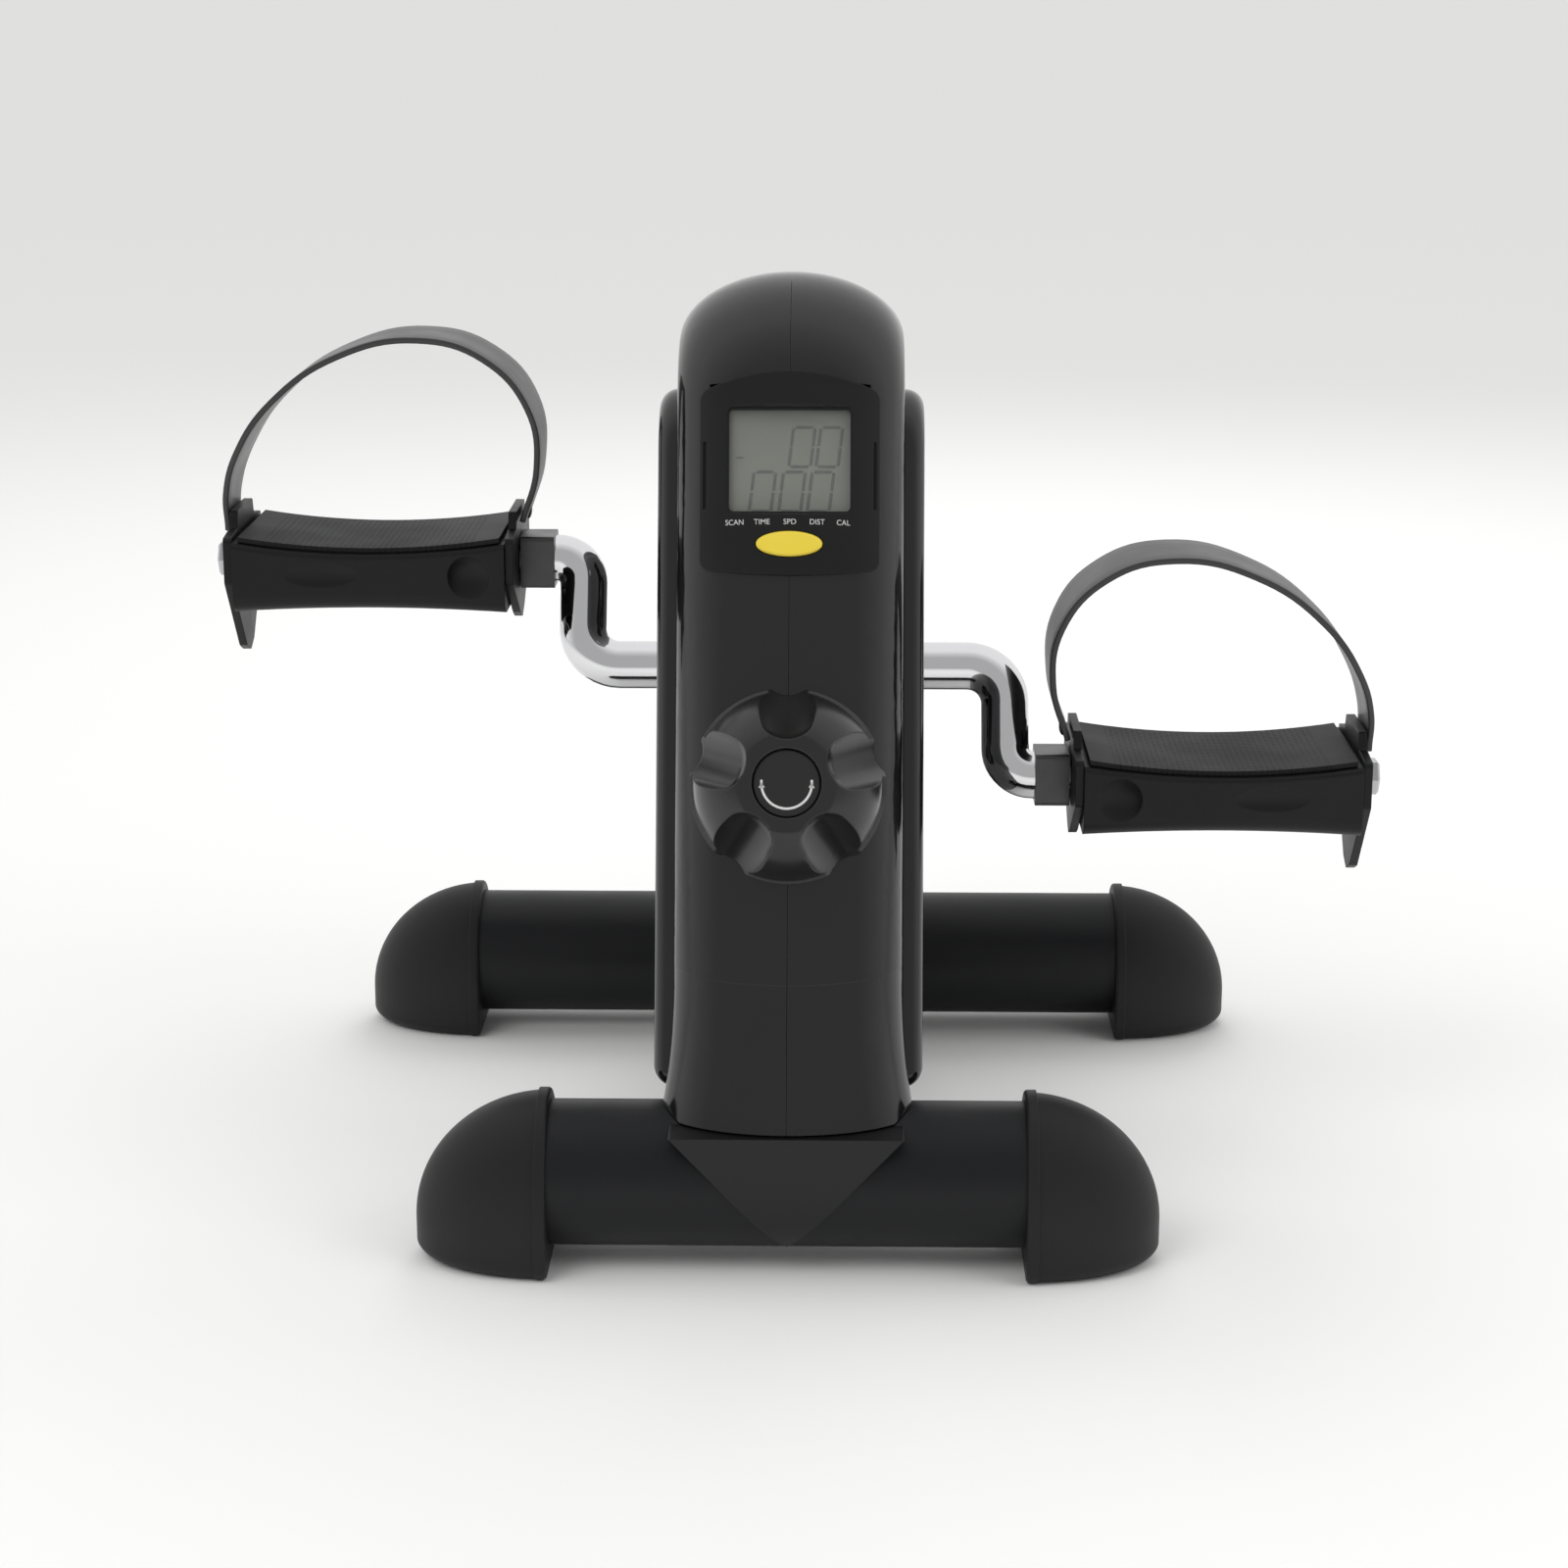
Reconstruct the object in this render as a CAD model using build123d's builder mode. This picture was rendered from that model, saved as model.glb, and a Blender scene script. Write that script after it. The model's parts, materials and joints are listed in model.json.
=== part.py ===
from build123d import *
from math import atan2, cos, hypot, radians, sin, tan
import os

os.makedirs("parts", exist_ok=True)

# Pedal exerciser. Millimetres, +Z up. The origin is on the floor, under the middle of the
# stabilisers. -Y is the user's side, +X is the user's right.

# ---- driving dimensions ----------------------------------------------------------------
# stabilisers and feet
tube_r = 25.0               # outer radius of both stabiliser tubes
tube_wall = 1.8
tube_y = 125.0              # each tube's distance from the middle
tube_z = 29.5               # tube axis above the floor
front_half = 128.0          # half of the overall width over the front feet
rear_half = 178.0           # the same at the rear
foot_len = 47.0
foot_half = 29.5
foot_top = 59.0
foot_lip = 4.0              # width of the raised rim at a foot's mouth
foot_grip = 5.0             # how far the tube reaches into a foot
foot_plug = 16.0            # how far the foot's plug reaches into the tube
# housing
lean = 17.0                 # the front face leans back by this many degrees
base_z = 52.0               # lower edge of the housing
crest_y = -149.0            # front of the housing at its lower edge
spine_half = 39.3           # half width of the spine
arch = 24.0                 # how far the spine's section bulges in front of its flat sides
wall = 2.5
dome_r = 50.0
dome_y, dome_z = -28.0, 277.0
back_y, back_z = 148.0, 80.0  # where the back becomes vertical
flare_z = 100.0             # the spine widens below this height
flare_half = 43.0           # half width of the spine at its lower edge
cover_half = 46.5           # half width over the side covers
# crank and pedals
axle_z = 180.0
crank_r = 8.8
throw_y, throw_z = 18.0, 36.5  # the right pedal's axle is this far forward and down
arm_x = 78.0
pedal_in, pedal_out = 101.5, 207.0
pedal_depth = 65.0
# drive
wheel_y, wheel_z = 56.0, 120.0
wheel_r = 58.0
pulley_r = 60.0
small_r = 12.0
belt_x = 14.0               # middle of the belt
plate_in, plate_out = 24.0, 28.0
# controls
knob_z = 164.0
knob_r = 33.0
screen_z = 265.0
running = 0.05              # radial clearance of a running fit

cos_l, sin_l, tan_l = cos(radians(lean)), sin(radians(lean)), tan(radians(lean))


def save(piece, name):
    """Label a finished piece and write it to its own STEP file."""
    piece.part.label = name
    export_step(piece.part, f"parts/{name}.step")


def face_plane(height, lift=0.0):
    """A plane on the housing's leaning front: x to the right, y up the face, z outwards."""
    y = crest_y + (height - base_z) * tan_l
    origin = (0, y - lift * cos_l, height + lift * sin_l)
    return Plane(origin, x_dir=(1, 0, 0), z_dir=(0, -cos_l, sin_l))


# ---- stabiliser tubes ------------------------------------------------------------------
bolt_x = 18.0               # stabiliser bolts, each side of the middle
bolt_r = 4.0
up_from = (Align.CENTER, Align.CENTER, Align.MIN)
tubes = (("front", -tube_y, front_half), ("rear", tube_y, rear_half))

for end, y, half in tubes:
    with BuildPart() as stabiliser_tube:
        with BuildSketch(Plane.YZ.offset(foot_len - half - foot_grip)):
            with Locations((y, tube_z)):
                Circle(tube_r)
                Circle(tube_r - tube_wall, mode=Mode.SUBTRACT)
        extrude(amount=2 * (half - foot_len + foot_grip))
        with Locations((bolt_x, y, tube_z), (-bolt_x, y, tube_z)):
            Cylinder(bolt_r + 0.2, 2 * tube_r, align=up_from, mode=Mode.SUBTRACT)
    save(stabiliser_tube, f"{end}_stabiliser_tube")

# ---- moulded feet ----------------------------------------------------------------------
# A domed cap with a flat sole: half of a turned dome, stretched outwards, with a rim.
dome_base = 14.0            # height of the widest level
sole_edge = 6.0


def foot_outline(inset):
    """Half of the foot's upright section, as a flat sketch."""
    r, top = foot_half - inset, foot_top - inset
    with BuildSketch() as section:
        with BuildLine():
            sole = Line((0, 0), (r - sole_edge, 0))
            edge = TangentArc(sole @ 1, (r, sole_edge), tangent=sole % 1)
            Line(edge @ 1, (r, dome_base))
            crown = EllipticalCenterArc((0, dome_base), r, top - dome_base, 0, arc_size=90)
            Line(crown @ 1, sole @ 0)
        make_face()
    return section.sketch


with BuildPart() as foot_form:
    with BuildSketch(Plane.XZ) as half_section:
        add(foot_outline(0.8))
    revolve(axis=Axis.Z)
    split(bisect_by=Plane.YZ, keep=Keep.TOP)
    scale(by=(foot_len / (foot_half - 0.8), 1, 1))
    with BuildSketch(Plane.YZ) as rim_section:
        add(foot_outline(0))
        mirror(about=Plane.YZ)
    extrude(amount=foot_lip)
    fillet(foot_form.faces().sort_by(Axis.X)[0].edges(), 1.2)
    with Locations((0, 0, tube_z)):
        Cylinder(tube_r + 0.02, 2 * foot_grip + 0.1, rotation=(0, 90, 0), mode=Mode.SUBTRACT)
    with Locations((foot_grip + 1, 0, tube_z)):
        Cylinder(tube_r - tube_wall - 0.2, foot_plug + foot_grip, rotation=(0, -90, 0), align=up_from)

for end, y, half in tubes:
    right_place = Location((half - foot_len, y, 0))
    with BuildPart() as right_foot:
        add(foot_form.part.moved(right_place))
    save(right_foot, f"{end}_right_foot")
    with BuildPart() as left_foot:
        add(right_foot.part.mirror(Plane.YZ))
    save(left_foot, f"{end}_left_foot")

# ---- steel frame -----------------------------------------------------------------------
# A folded channel lies across both tubes. Two upright plates inside it carry the crank
# bearings and the flywheel's axle.
channel_bottom = tube_z + tube_r + 0.1
channel_half = 31.0
channel_top = 85.0
sheet = 3.0
channel_len = 268.0
pin_y, pin_z = -2.0, 74.0   # pivot of the magnet bracket

plate_bolt_places = [(0, y, channel_top - 10) for y in (-26, 26, 66)]

with BuildPart() as base_channel:
    with BuildSketch(Plane.XZ.offset(-channel_len / 2)):
        with BuildLine():
            FilletPolyline(
                (-channel_half + sheet / 2, channel_top),
                (-channel_half + sheet / 2, channel_bottom + sheet / 2),
                (channel_half - sheet / 2, channel_bottom + sheet / 2),
                (channel_half - sheet / 2, channel_top),
                radius=3,
            )
        trace(line_width=sheet)
    extrude(amount=channel_len)
    with Locations((0, -channel_len / 2, channel_bottom + sheet)):
        Box(70, 28, 60, align=up_from, mode=Mode.SUBTRACT)
    with GridLocations(2 * bolt_x, 2 * tube_y, 2, 2):
        Cylinder(bolt_r + 0.2, 200, mode=Mode.SUBTRACT)
    with Locations((0, pin_y, pin_z)):
        Cylinder(3.1, 80, rotation=(0, 90, 0), mode=Mode.SUBTRACT)
    with Locations(*plate_bolt_places):
        Cylinder(3.1, 80, rotation=(0, 90, 0), mode=Mode.SUBTRACT)
save(base_channel, "base_channel")

bearing_r = 16.0
for side, name in ((-1, "left"), (1, "right")):
    with BuildPart() as frame_plate:
        with BuildSketch(Plane.YZ.offset(side * (plate_in + plate_out) / 2)) as plate_section:
            with Locations((0, axle_z)):
                Circle(bearing_r + 8)
            with Locations((wheel_y, wheel_z)):
                Circle(15)
            with Locations((22, channel_bottom + sheet + 13)):
                RectangleRounded(120, 22, 4)
            make_hull()
            with Locations((0, axle_z)):
                Circle(bearing_r, mode=Mode.SUBTRACT)
            with Locations((wheel_y, wheel_z)):
                Circle(5.1, mode=Mode.SUBTRACT)
            with Locations((pin_y, pin_z), *[(p[1], p[2]) for p in plate_bolt_places]):
                Circle(3.1, mode=Mode.SUBTRACT)
            with Locations((6, 118)):
                Circle(18, mode=Mode.SUBTRACT)
        extrude(amount=(plate_out - plate_in) / 2 - 0.02, both=True)
    save(frame_plate, f"{name}_frame_plate")

with BuildPart() as plate_bolts:
    for side in (-1, 1):
        for _, y, z in plate_bolt_places:
            with Locations((side * (channel_half + 1.6), y, z)):
                Cylinder(5, 3, rotation=(0, 90, 0))
            with Locations((side * 26, y, z)):
                Cylinder(3, 12, rotation=(0, 90, 0))
save(plate_bolts, "plate_bolts")

nut_floor = tube_z + 15.0    # underside of the weld nuts inside the tubes
nut_h = 6.5
with BuildPart() as stabiliser_bolts:
    with BuildSketch(Plane.XY.offset(channel_bottom + sheet + 0.05)):
        with GridLocations(2 * bolt_x, 2 * tube_y, 2, 2):
            RegularPolygon(6.5, 6, major_radius=False)
    extrude(amount=5.3)
    with GridLocations(2 * bolt_x, 2 * tube_y, 2, 2):
        with Locations((0, 0, nut_floor)):
            Cylinder(bolt_r, channel_bottom + sheet + 1 - nut_floor, align=up_from)
save(stabiliser_bolts, "stabiliser_bolts")

with BuildPart() as stabiliser_nuts:
    with BuildSketch(Plane.XY.offset(nut_floor)):
        with GridLocations(2 * bolt_x, 2 * tube_y, 2, 2):
            RegularPolygon(6.5, 6, major_radius=False)
            Circle(bolt_r + 0.02, mode=Mode.SUBTRACT)
    extrude(amount=nut_h)
save(stabiliser_nuts, "stabiliser_nuts")

with BuildPart() as crank_bearings:
    for side in (-1, 1):
        with Locations((side * 26, 0, axle_z)):
            Cylinder(bearing_r - 0.02, 9, rotation=(0, 90, 0))
            Cylinder(crank_r + running, 9, rotation=(0, 90, 0), mode=Mode.SUBTRACT)
save(crank_bearings, "crank_bearings")

# ---- front saddle cover ----------------------------------------------------------------
# The matt moulding between the housing and the front tube. It ends in a V over the tube.
shield = 1.2
v_tip_z = 9.0


def arch_section(y_front, half, depth, straight):
    """A flat sketch in plan: half an ellipse at the front, then straight sides."""
    centre = y_front + depth
    with BuildSketch() as section:
        with BuildLine():
            front = EllipticalCenterArc((0, centre), half, depth, 180, arc_size=180)
            Polyline(front @ 1, (half, centre + straight), (-half, centre + straight), front @ 0)
        make_face()
    return section.sketch


with BuildPart() as front_saddle_cover:
    with BuildSketch(Plane.XY.offset(tube_z)):
        add(arch_section(crest_y, flare_half - 0.3, arch, 0.5))
    extrude(amount=base_z - 0.6 - tube_z)
    with BuildSketch(Plane.XZ.offset(tube_y)) as v_section:
        with BuildLine():
            v_half, v_top = flare_half - 3.5, base_z - 0.6
            Polyline((0, v_tip_z), (v_half, v_top), (-v_half, v_top), (0, v_tip_z))
        make_face()
    extrude(amount=60)
    with BuildSketch(Plane.YZ.offset(-60)) as tube_side:
        with Locations((-tube_y, tube_z)):
            Circle(tube_r + shield)
        with Locations((-tube_y, tube_z + 30)):
            Rectangle(2 * (tube_r + shield), 60)
    extrude(amount=120, mode=Mode.INTERSECT)
    with Locations((0, -tube_y, tube_z)):
        Cylinder(tube_r + 0.02, 200, rotation=(0, 90, 0), mode=Mode.SUBTRACT)
save(front_saddle_cover, "front_saddle_cover")

# ---- housing ---------------------------------------------------------------------------
# The spine follows one smooth line: the leaning front, the dome, a long curved back and a
# short upright at the rear. Its section is half an ellipse with short straight sides.
rise, run = dome_z - back_z, back_y - dome_y - dome_r
turn = 2 * atan2(run, rise)  # angle of the back arc, from its join with the dome
back_r = dome_r + rise / sin(turn)
back_centre = (dome_y - (back_r - dome_r) * cos(turn), dome_z - (back_r - dome_r) * sin(turn))


def side_outline(inset, bottom, plane):
    """The spine's line from the side, moved inwards by inset, as an open wire."""
    r, big = dome_r - inset, back_r - inset
    start = (dome_y - r * cos_l, dome_z + r * sin_l)
    foot = (start[0] - (start[1] - bottom) * tan_l, bottom)
    join = (dome_y + r * cos(turn), dome_z + r * sin(turn))
    middle = (back_centre[0] + big * cos(turn / 2), back_centre[1] + big * sin(turn / 2))
    end = (back_centre[0] + big, back_z)
    with BuildLine(plane) as outline:
        Line(foot, start)
        ThreePointArc(start, (dome_y, dome_z + r), join)
        ThreePointArc(join, middle, end)
        Line(end, (end[0], bottom))
    return outline.line


def spine_solid(inset, bottom):
    """The spine as a full solid, smaller all round by inset."""
    half, depth = spine_half - inset, arch - inset
    path = side_outline(inset, bottom - 30, Plane.YZ)
    inner_edge = side_outline(arch, bottom - 30, Plane.XY)
    with BuildPart() as spine:
        with BuildSketch(Plane(path @ 0, x_dir=(1, 0, 0), z_dir=path % 0)):
            add(arch_section(0, half, depth, 3))
        sweep(path=path)
        with BuildSketch(Plane.YZ.offset(-half)):
            with BuildLine():
                add(inner_edge)
                Line(inner_edge @ 1, inner_edge @ 0)
            make_face()
        extrude(amount=2 * half)
        split(bisect_by=Plane.XY.offset(bottom), keep=Keep.TOP)
    return spine.part


# The side covers bulge out behind the spine's edges and run parallel to its line.
cover_front = 31.0          # square distance behind the crest
cover_top_r = 24.0
cover_top_z = 262.0
cover_bottom = 56.0
cover_edge = 6.5            # rounding of a cover's outer edge
cover_corner = 4.0          # rounding of its lower corners
cover_top_y = dome_y - (dome_r - cover_front - cover_top_r) * cos_l
cover_top_y += (cover_top_z - dome_z + (dome_r - cover_front - cover_top_r) * sin_l) * tan_l
cover_back_r = cover_top_r + hypot(cover_top_y - back_centre[0], cover_top_z - back_centre[1])


def cover_solid(inset, x_inner, x_outer, side):
    """A bulging side cover as a full solid, smaller all round by inset."""
    big, r, bottom = cover_back_r - inset, cover_top_r - inset, cover_bottom + inset
    start = (cover_top_y - r * cos_l, cover_top_z + r * sin_l)
    foot = (start[0] - (start[1] - bottom) * tan_l, bottom)
    middle = (back_centre[0] + big * cos(turn / 3), back_centre[1] + big * sin(turn / 3))
    end = (back_centre[0] + big, back_z)
    towards = atan2(cover_top_z - back_centre[1], cover_top_y - back_centre[0])
    join = (cover_top_y + r * cos(towards), cover_top_z + r * sin(towards))
    with BuildPart() as cover:
        with BuildSketch(Plane.YZ.offset(side * x_inner)) as section:
            with BuildLine():
                Line(foot, start)
                ThreePointArc(start, (cover_top_y, cover_top_z + r), join)
                ThreePointArc(join, middle, end)
                Line(end, (end[0], bottom))
                Line((end[0], bottom), foot)
            make_face()
            fillet(section.vertices().group_by(Axis.Y)[0], cover_corner - inset)
        extrude(amount=side * (x_outer - x_inner))
        outer_face = cover.faces().sort_by(Axis.X)[-1 if side > 0 else 0]
        fillet(outer_face.edges(), cover_edge - inset)
    return cover.part


spine_outer = spine_solid(0, base_z)
flare_levels = ((flare_z, 0), (86, 0.1), (70, 1.1), (base_z, flare_half - spine_half))
with BuildPart() as spine_flare:
    for height, wider in flare_levels:
        with BuildSketch(Plane.XY.offset(height)):
            front_y = face_plane(height).origin.Y
            add(arch_section(front_y, spine_half + wider, arch / cos_l, 5.5))
    loft()
with BuildPart() as flare_room:
    with BuildSketch(Plane.YZ.offset(-60)):
        with BuildLine():
            Polyline(
                (crest_y - 40, base_z - 5),
                (crest_y + arch / cos_l + 4.8 - 5 * tan_l, base_z - 5),
                (crest_y + arch / cos_l + 4.8 + (flare_z - base_z) * tan_l, flare_z),
                (crest_y - 40, flare_z),
                close=True,
            )
        make_face()
    extrude(amount=120)
spine_inner = spine_solid(wall, base_z - 2)

boss_r = 30.0               # flat seat behind the knob
spindle_r = 4.0
case_half_x, case_half_y = 27.0, 31.0   # the computer's case, across and up the face
crank_hole_r = 13.0
seam = 0.1                  # half of the gap between the two halves
housing_screw_places = [(-86, 104), (-24, 268), (74, 184), (118, 95)]
cover_screw_places = [(-78, 90), (70, 82), (-22, 250)]

with BuildPart() as spine_shell:
    add(spine_outer)
    add(flare_room.part, mode=Mode.SUBTRACT)
    add(spine_flare.part)
    add(spine_inner, mode=Mode.SUBTRACT)
    with Locations(*[(0, y, z) for y, z in housing_screw_places]):
        Cylinder(4.5, 2 * spine_half - 1, rotation=(0, 90, 0))
        Cylinder(1.7, 100, rotation=(0, 90, 0), mode=Mode.SUBTRACT)
    with BuildSketch(face_plane(knob_z, -6)):
        Circle(boss_r)
    extrude(amount=5.8)
    with BuildSketch(face_plane(knob_z, -14)):
        Circle(9)
    extrude(amount=10)
    with BuildSketch(face_plane(knob_z, -16)):
        Circle(spindle_r + running)
    extrude(amount=20, mode=Mode.SUBTRACT)
    with BuildSketch(face_plane(screen_z, -24)):
        Rectangle(2 * case_half_x + 0.6, 2 * case_half_y + 0.6)
    extrude(amount=40, mode=Mode.SUBTRACT)
    with Locations((0, 0, axle_z)):
        Cylinder(crank_hole_r, 120, rotation=(0, 90, 0), mode=Mode.SUBTRACT)
    with Locations((0, -tube_y, tube_z), (0, tube_y, tube_z)):
        Cylinder(tube_r + 0.5, 200, rotation=(0, 90, 0), mode=Mode.SUBTRACT)

with BuildPart() as left_spine_shell:
    add(spine_shell.part)
    split(bisect_by=Plane.YZ.offset(-seam), keep=Keep.BOTTOM)
save(left_spine_shell, "left_spine_shell")

with BuildPart() as right_spine_shell:
    add(left_spine_shell.part.mirror(Plane.YZ))
save(right_spine_shell, "right_spine_shell")

for side, name in ((-1, "left"), (1, "right")):
    with BuildPart() as side_cover:
        add(cover_solid(0, spine_half + 0.1, cover_half, side))
        add(cover_solid(wall, spine_half, cover_half - wall, side), mode=Mode.SUBTRACT)
        with Locations((side * 45, 0, axle_z)):
            Cylinder(crank_r + 2.2, 30, rotation=(0, 90, 0), mode=Mode.SUBTRACT)
        with Locations(*[(side * cover_half, y, z) for y, z in cover_screw_places]):
            Cylinder(4.1, 2.6, rotation=(0, 90, 0), mode=Mode.SUBTRACT)
            Cylinder(1.7, 40, rotation=(0, 90, 0), mode=Mode.SUBTRACT)
    save(side_cover, f"{name}_side_cover")

with BuildPart() as housing_screws:
    with Locations(*[(0, y, z) for y, z in housing_screw_places]):
        Cylinder(1.5, 2 * spine_half + 1, rotation=(0, 90, 0))
    with Locations(*[(spine_half + 1.1, y, z) for y, z in housing_screw_places]):
        Cylinder(3.6, 2.1, rotation=(0, 90, 0))
save(housing_screws, "housing_screws")

with BuildPart() as cover_screws:
    screw_in, screw_out = spine_half + 0.2, cover_half - 1
    for side in (-1, 1):
        with Locations(*[(side * (cover_half - 0.7), y, z) for y, z in cover_screw_places]):
            Cylinder(4, 1.2, rotation=(0, 90, 0))
        with Locations(*[(side * (screw_in + screw_out) / 2, y, z) for y, z in cover_screw_places]):
            Cylinder(1.5, screw_out - screw_in, rotation=(0, 90, 0))
        with Locations(*[(side * cover_half, y, z) for y, z in cover_screw_places]):
            Box(1.4, 4.6, 1, mode=Mode.SUBTRACT)
            Box(1.4, 1, 4.6, mode=Mode.SUBTRACT)
save(cover_screws, "cover_screws")

# ---- crank -----------------------------------------------------------------------------
# One bent bar. The right arm points forward and down, the left arm the other way.
arm_r = 14.0                # inside the elbow at the axle
end_r = 9.6                 # and at the pedal
crank_end = 97.0
collar_in, collar_out = 88.5, 101.0
collar_half = 9.6
axle_r = 6.0

with BuildPart() as crank:
    with BuildLine() as crank_line:
        FilletPolyline(
            (-crank_end, throw_y, axle_z + throw_z),
            (-arm_x, throw_y, axle_z + throw_z),
            (-arm_x, 0, axle_z),
            (arm_x, 0, axle_z),
            (arm_x, -throw_y, axle_z - throw_z),
            (crank_end, -throw_y, axle_z - throw_z),
            radius=[end_r, arm_r, arm_r, end_r],
        )
    with BuildSketch(Plane(crank_line.line @ 0, z_dir=crank_line.line % 0)):
        Circle(crank_r)
    sweep()
save(crank, "crank")

with BuildPart() as crank_collars:
    for side in (-1, 1):
        centre = (-side * throw_y, axle_z - side * throw_z)
        with BuildSketch(Plane((side * collar_in, *centre), x_dir=(0, 1, 0), z_dir=(side, 0, 0))):
            RectangleRounded(2 * collar_half, 2 * collar_half, 1.6)
        extrude(amount=collar_out - collar_in)
        with Locations((side * (crank_end + 0.05) / 2, *centre)):
            Cylinder(crank_r + 0.05, crank_end + 0.05, rotation=(0, 90, 0), mode=Mode.SUBTRACT)
        with Locations((side * collar_out, *centre)):
            Cylinder(axle_r + 0.05, 20, rotation=(0, 90, 0), mode=Mode.SUBTRACT)
save(crank_collars, "crank_collars")

nut_in, nut_out = pedal_out + 0.4, pedal_out + 7.0
with BuildPart() as pedal_axles:
    for side in (-1, 1):
        with BuildSketch(Plane.YZ.offset(side * (crank_end + 0.1))):
            with Locations((-side * throw_y, axle_z - side * throw_z)):
                Circle(axle_r)
        extrude(amount=side * (nut_in - 1 - crank_end))
save(pedal_axles, "pedal_axles")

with BuildPart() as axle_nuts:
    for side in (-1, 1):
        centre = (-side * throw_y, axle_z - side * throw_z)
        with BuildSketch(Plane.YZ.offset(side * nut_in)):
            with Locations(centre):
                Circle(8)
        extrude(amount=side * 1.4)
        with BuildSketch(Plane.YZ.offset(side * (nut_in + 1.4))):
            with Locations(centre):
                RegularPolygon(6, 6, major_radius=False)
        extrude(amount=side * (nut_out - nut_in - 1.4))
        chamfer(axle_nuts.faces().sort_by(Axis.X)[-1 if side > 0 else 0].edges(), 0.8)
        with Locations((side * nut_out, *centre)):
            Cylinder(3, 5, rotation=(0, 90, 0), mode=Mode.SUBTRACT)
save(axle_nuts, "axle_nuts")

# ---- belt drive and flywheel -----------------------------------------------------------
belt_w, belt_t, belt_gap = 7.0, 2.2, 0.25
sensor_r = 53.0             # the sensor's magnet, from the crank's axis


def pulley(centre, radius, bore, flange):
    """A flanged belt pulley in the belt's plane, in the open part."""
    with Locations((belt_x, *centre)):
        Cylinder(radius, belt_w + 1, rotation=(0, 90, 0))
    with Locations((belt_x - 4.75, *centre), (belt_x + 4.75, *centre)):
        Cylinder(radius + flange, 1.5, rotation=(0, 90, 0))
    with Locations((belt_x, *centre)):
        Cylinder(bore, 60, rotation=(0, 90, 0), mode=Mode.SUBTRACT)


with BuildPart() as crank_pulley:
    pulley((0, axle_z), pulley_r, crank_r + 0.02, 1.4)
    with BuildSketch(Plane.YZ.offset(belt_x)):
        with Locations((0, axle_z)):
            with PolarLocations(35, 6):
                Circle(12.5)
    extrude(amount=20, both=True, mode=Mode.SUBTRACT)
    with Locations((belt_x + 4, 0, axle_z + sensor_r)):
        Cylinder(4.02, 4, rotation=(0, 90, 0), mode=Mode.SUBTRACT)
save(crank_pulley, "crank_pulley")

with BuildPart() as sensor_magnet:
    with Locations((belt_x + 3.45, 0, axle_z + sensor_r)):
        Cylinder(4, 2.8, rotation=(0, 90, 0))
save(sensor_magnet, "sensor_magnet")

with BuildPart() as flywheel_pulley:
    pulley((wheel_y, wheel_z), small_r, 9.02, 1.4)
save(flywheel_pulley, "flywheel_pulley")

with BuildPart() as drive_belt:
    with BuildSketch(Plane.YZ.offset(belt_x)):
        with Locations((0, axle_z)):
            Circle(pulley_r + belt_gap + belt_t)
        with Locations((wheel_y, wheel_z)):
            Circle(small_r + belt_gap + belt_t)
        make_hull()
    extrude(amount=belt_w / 2, both=True)
    with BuildSketch(Plane.YZ.offset(belt_x)):
        with Locations((0, axle_z)):
            Circle(pulley_r + belt_gap)
        with Locations((wheel_y, wheel_z)):
            Circle(small_r + belt_gap)
        make_hull()
    extrude(amount=belt_w, both=True, mode=Mode.SUBTRACT)
save(drive_belt, "drive_belt")

wheel_x = -10.0
with BuildPart() as flywheel:
    with Locations((wheel_x, wheel_y, wheel_z)):
        Cylinder(wheel_r, 20, rotation=(0, 90, 0))
        Cylinder(44, 20, rotation=(0, 90, 0), mode=Mode.SUBTRACT)
        Cylinder(45, 6, rotation=(0, 90, 0))
        Cylinder(15, 22, rotation=(0, 90, 0))
    with Locations((6, wheel_y, wheel_z)):
        Cylinder(9, 32, rotation=(0, 90, 0))
    with Locations((0, wheel_y, wheel_z)):
        Cylinder(6, 80, rotation=(0, 90, 0), mode=Mode.SUBTRACT)
    with Locations((-17, wheel_y, wheel_z), (18, wheel_y, wheel_z)):
        Cylinder(8, 8, rotation=(0, 90, 0), mode=Mode.SUBTRACT)
save(flywheel, "flywheel")

with BuildPart() as flywheel_bearings:
    with Locations((-17, wheel_y, wheel_z), (18, wheel_y, wheel_z)):
        Cylinder(7.98, 7.6, rotation=(0, 90, 0))
    with Locations((0, wheel_y, wheel_z)):
        Cylinder(5 + running, 80, rotation=(0, 90, 0), mode=Mode.SUBTRACT)
save(flywheel_bearings, "flywheel_bearings")

with BuildPart() as flywheel_axle:
    with Locations((0, wheel_y, wheel_z)):
        Cylinder(5, 70, rotation=(0, 90, 0))
save(flywheel_axle, "flywheel_axle")

with BuildPart() as flywheel_axle_nuts:
    for side in (-1, 1):
        with BuildSketch(Plane.YZ.offset(side * (plate_out + 0.1))):
            with Locations((wheel_y, wheel_z)):
                RegularPolygon(8, 6, major_radius=False)
                Circle(5.02, mode=Mode.SUBTRACT)
        extrude(amount=side * 6)
save(flywheel_axle_nuts, "flywheel_axle_nuts")

# ---- magnetic brake --------------------------------------------------------------------
# A bracket with magnets swings on a pin below, towards and away from the flywheel's rim.
magnet_gap = 5.5
bracket_in = wheel_r + magnet_gap + 3.05
bracket_t = 3.5
bracket_from, bracket_to = 160, 212


def on_wheel(radius, angle):
    """A point in the side plane at a distance and angle from the flywheel's axis."""
    return wheel_y + radius * cos(radians(angle)), wheel_z + radius * sin(radians(angle))


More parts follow.
